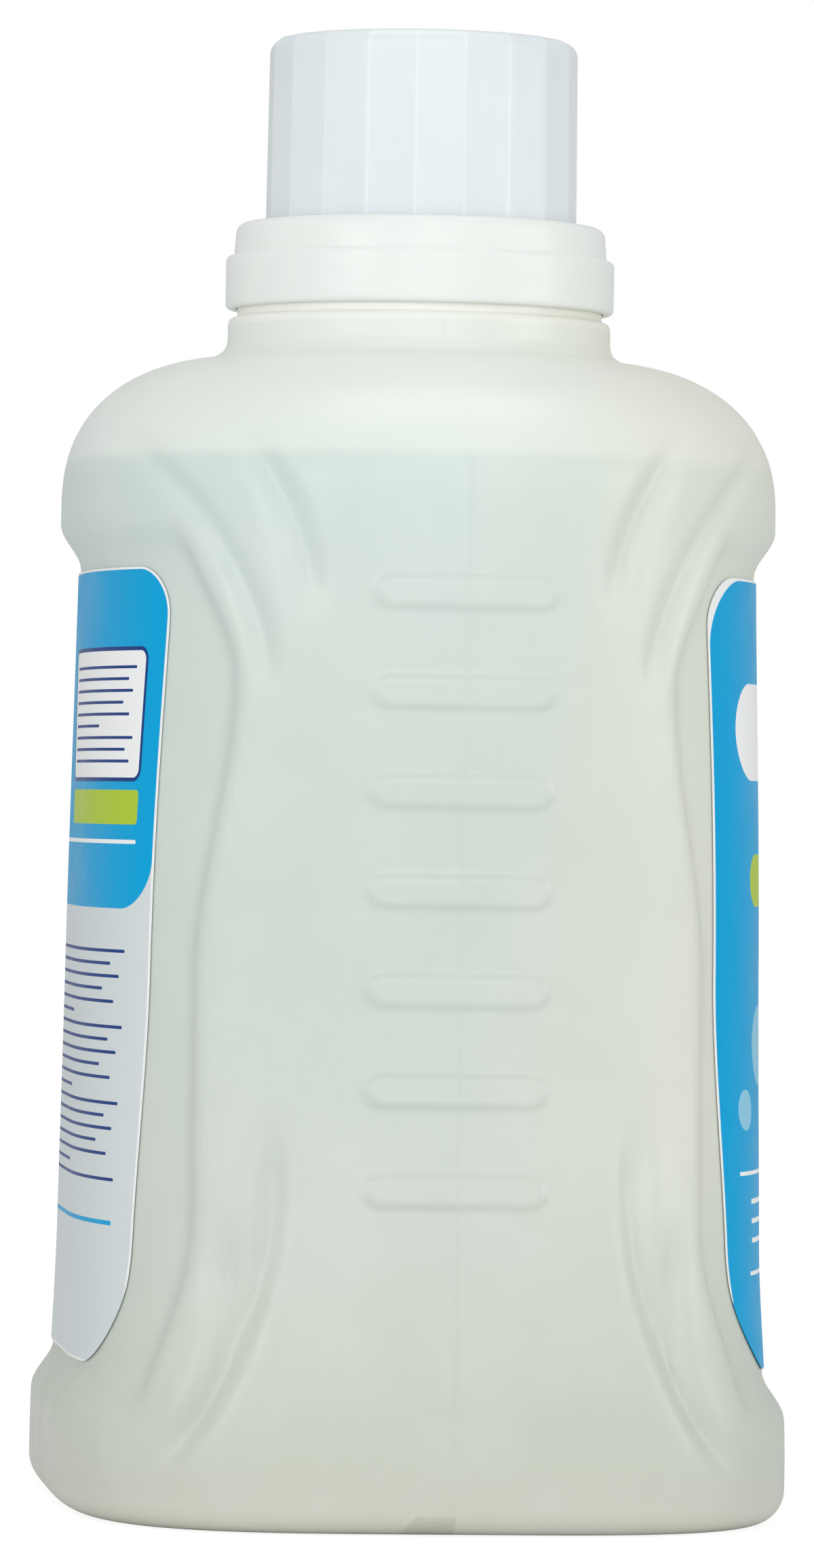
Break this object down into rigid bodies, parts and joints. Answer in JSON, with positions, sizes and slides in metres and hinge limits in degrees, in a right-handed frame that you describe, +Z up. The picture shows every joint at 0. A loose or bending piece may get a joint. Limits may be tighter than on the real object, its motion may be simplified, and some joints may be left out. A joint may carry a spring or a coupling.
{
  "type": "laundry detergent bottle",
  "caption": "Translucent blow-moulded detergent bottle with hourglass grip panels, recessed labels, a pour spout collar and an inverted measuring cap.",
  "frame": {"origin": "on the ground under the middle of the base", "axes": "+Z up along the neck axis, +X towards the front label, -X towards the back label, -Y and +Y towards the grip panels"},
  "size_m": [0.13, 0.1588, 0.2612],
  "materials": {
    "natural_hdpe": "satin",
    "spout_plastic": "satin",
    "cap_plastic": "gloss",
    "label_print": "gloss",
    "detergent_liquid": "gloss"
  },
  "bodies": {
    "bottle": {"bottle": "natural_hdpe", "pour_spout": "spout_plastic", "front_label": "label_print", "back_label": "label_print", "detergent": "detergent_liquid"},
    "cap": {"cap": "cap_plastic"}
  },
  "joints": [
    {"name": "cap_lift", "type": "slide", "parent": "bottle", "child": "cap", "axis": [0, 0, 1], "range_m": [0, 0.045]}
  ]
}
